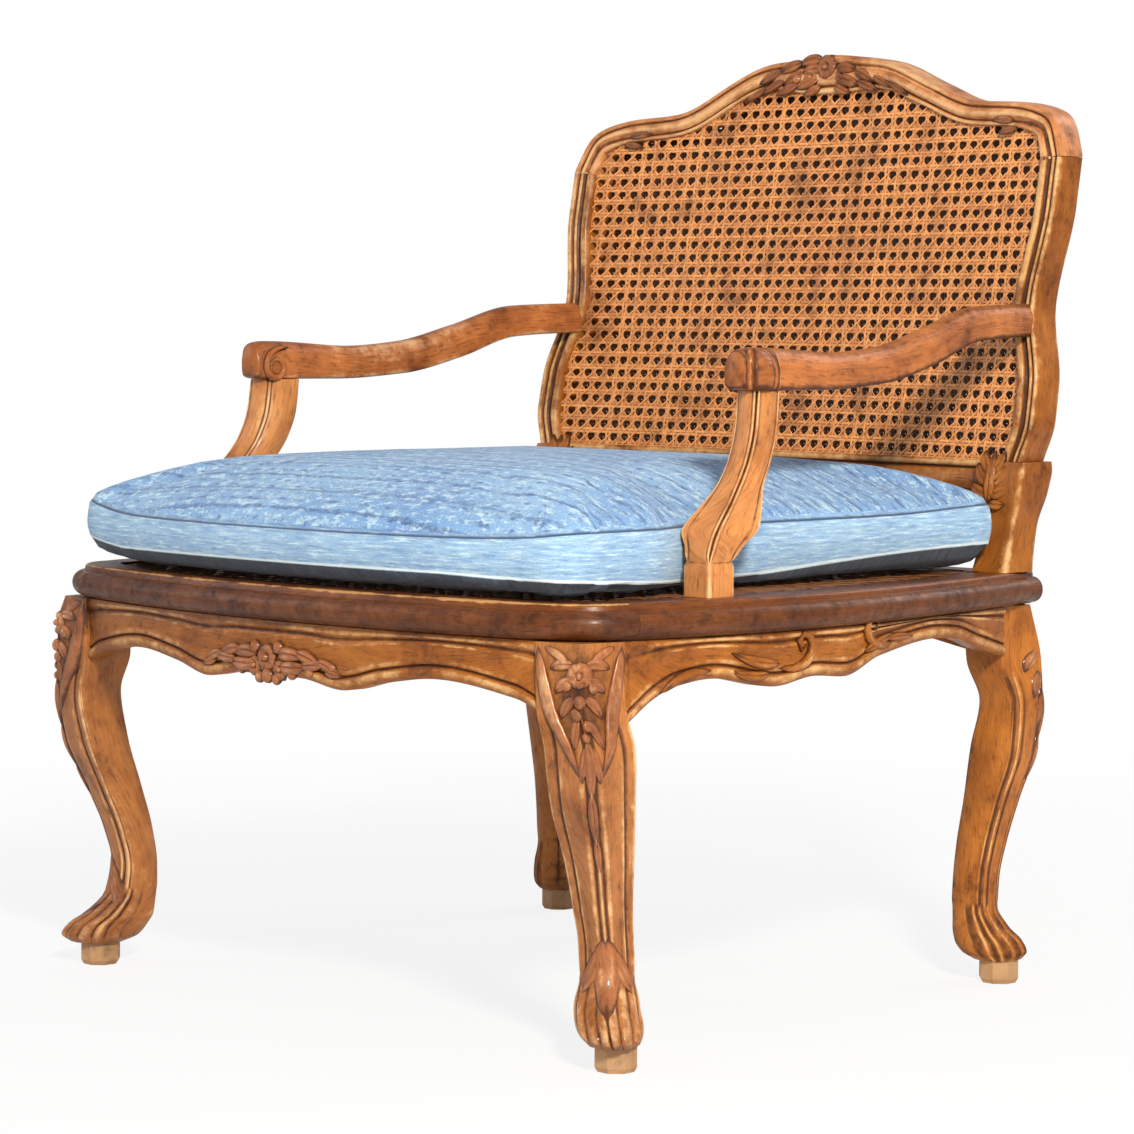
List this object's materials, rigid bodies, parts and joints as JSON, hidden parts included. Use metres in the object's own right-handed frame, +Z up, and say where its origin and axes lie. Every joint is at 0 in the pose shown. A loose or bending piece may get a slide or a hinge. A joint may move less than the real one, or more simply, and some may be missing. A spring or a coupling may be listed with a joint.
{
  "type": "caned fauteuil",
  "caption": "Open armchair with carved cabriole legs, a shaped double-caned back, a caned seat and a loose denim seat cushion.",
  "frame": {"origin": "middle of the chair's bounding box, on the floor", "axes": "+Z up; -Y is the front of the chair; +X is the right-hand side for someone who looks at its front"},
  "size_m": [0.7998, 0.7916, 0.904],
  "materials": {
    "waxed_wood": "waxed, satin",
    "dark_wood": "waxed, darkened by use",
    "pale_wood": "worn, dull",
    "cane": "woven rattan cane, satin",
    "denim": "light blue slubbed denim",
    "foam": "matte foam",
    "zip_tape": "woven tape"
  },
  "bodies": {
    "frame": {"leg_front_left": "waxed_wood", "leg_front_right": "waxed_wood", "leg_rear_left": "waxed_wood", "leg_rear_right": "waxed_wood", "foot_pad_front_left": "pale_wood", "foot_pad_front_right": "pale_wood", "foot_pad_rear_left": "pale_wood", "foot_pad_rear_right": "pale_wood", "apron_front": "waxed_wood", "apron_rear": "waxed_wood", "apron_left": "waxed_wood", "apron_right": "waxed_wood", "seat_rail_front": "dark_wood", "seat_rail_rear": "dark_wood", "seat_rail_left": "dark_wood", "seat_rail_right": "dark_wood", "seat_cane": "cane", "lower_stile_left": "waxed_wood", "lower_stile_right": "waxed_wood", "back_stile_left": "waxed_wood", "back_stile_right": "waxed_wood", "crest_rail": "waxed_wood", "back_bottom_rail": "waxed_wood", "back_cane_front": "cane", "back_cane_rear": "cane", "arm_left": "dark_wood", "arm_right": "dark_wood", "arm_post_left": "waxed_wood", "arm_post_right": "waxed_wood"},
    "cushion": {"cushion_cover": "denim", "cushion_foam": "foam", "cushion_zip": "zip_tape"}
  },
  "joints": [
    {"name": "cushion_slide", "type": "slide", "parent": "frame", "child": "cushion", "axis": [0, -0.9781, 0.2079], "range_m": [0, 0.6]}
  ]
}
